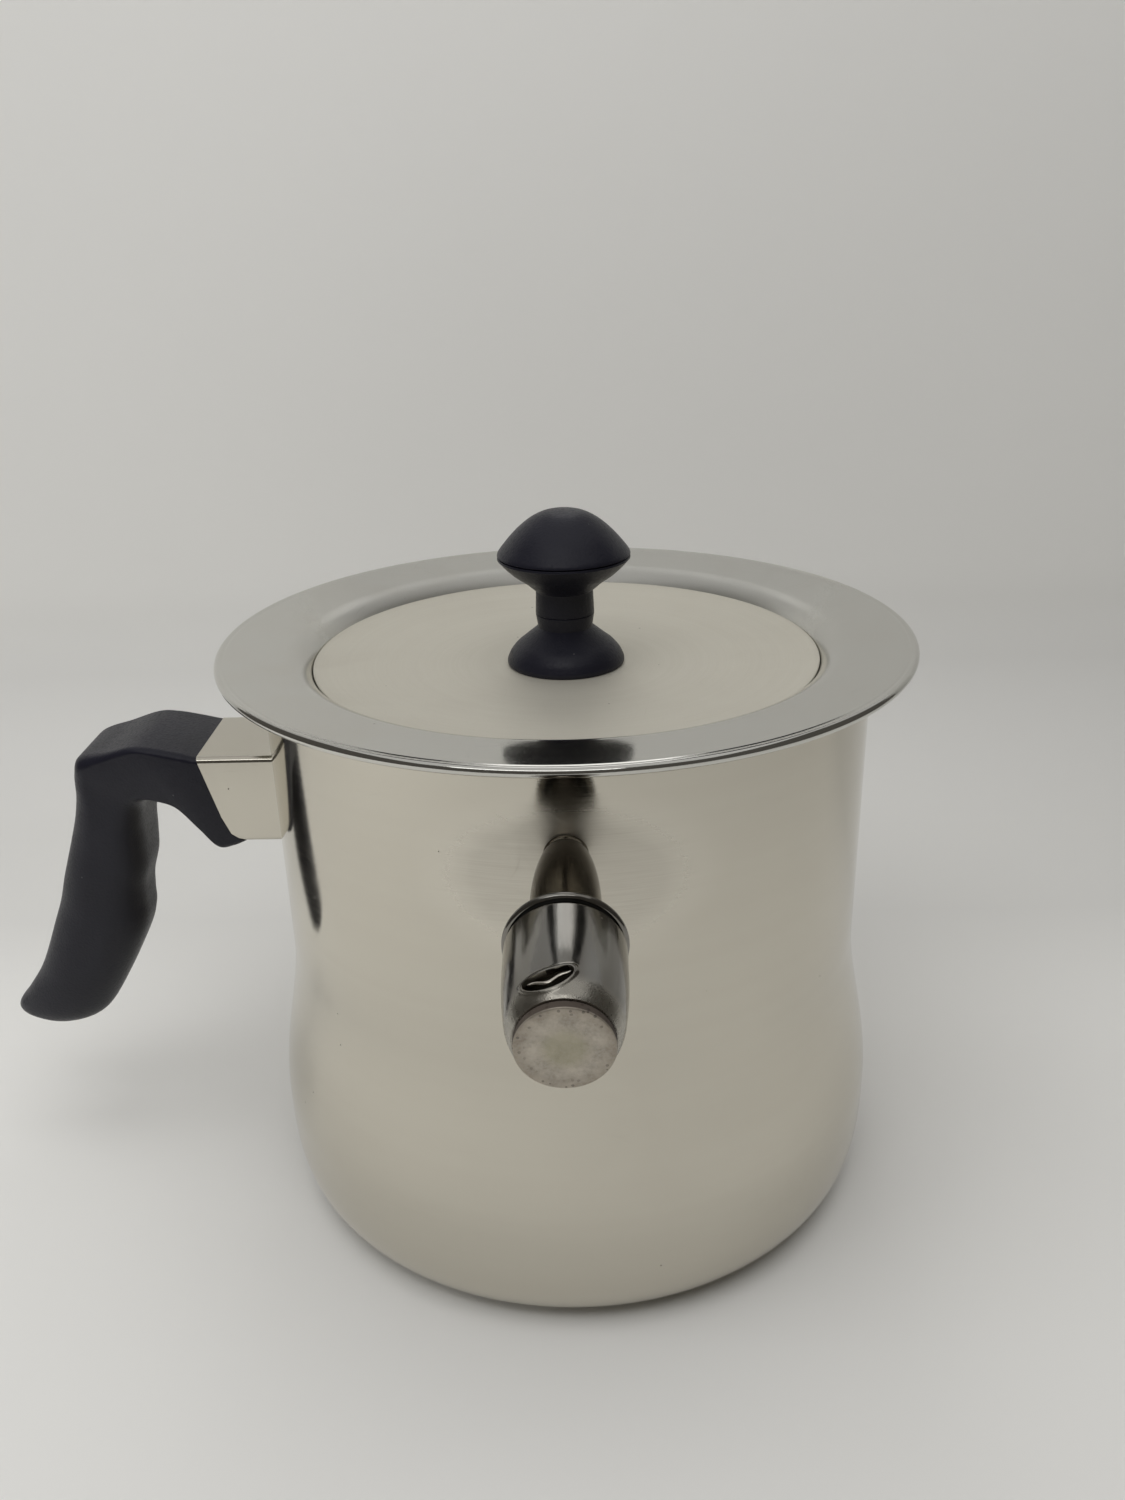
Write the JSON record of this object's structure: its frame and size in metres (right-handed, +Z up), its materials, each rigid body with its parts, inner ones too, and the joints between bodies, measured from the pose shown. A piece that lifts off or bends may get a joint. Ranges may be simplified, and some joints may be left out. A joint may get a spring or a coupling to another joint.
{
  "type": "double boiler",
  "caption": "Round-bellied steel double boiler with a water jacket, wide pouring rim, lift-off dished lid with mushroom knob, side spout with pull-off slotted whistle and a down-curved grip.",
  "frame": {"origin": "centre of the base's underside, on the pot's axis", "axes": "+Z up along the pot's axis; the filler spout and whistle point to -Y, the handle to -X"},
  "size_m": [0.2844, 0.2552, 0.2104],
  "materials": {
    "steel": "polished with fine brushing",
    "satin_steel": "satin",
    "stained_steel": "matte, heat-stained",
    "aluminium": "plain",
    "black_plastic": "fine-grained matte",
    "soft_rubber": "matte"
  },
  "bodies": {
    "pot": {"outer_shell": "steel", "inner_pot": "steel", "base_core": "aluminium", "base_cap": "satin_steel", "filler_spout": "steel", "handle_bracket": "satin_steel", "handle_ferrule": "steel", "handle_grip": "black_plastic", "handle_washer": "satin_steel", "handle_screw": "satin_steel"},
    "lid_unit": {"lid": "steel", "knob_base": "black_plastic", "knob_body": "black_plastic", "knob_cap": "black_plastic", "knob_washer": "satin_steel", "knob_screw": "satin_steel"},
    "whistle_unit": {"whistle_ring": "steel", "whistle_cap": "steel", "whistle_sleeve": "soft_rubber", "whistle_disc_inner": "satin_steel", "whistle_disc_outer": "satin_steel", "whistle_end": "stained_steel"}
  },
  "joints": [
    {"name": "lid_lift", "type": "slide", "parent": "pot", "child": "lid_unit", "axis": [0, 0, 1], "range_m": [0, 0.08]},
    {"name": "whistle_pull", "type": "slide", "parent": "pot", "child": "whistle_unit", "axis": [0, -0.9962, -0.0872], "range_m": [0, 0.03]}
  ]
}
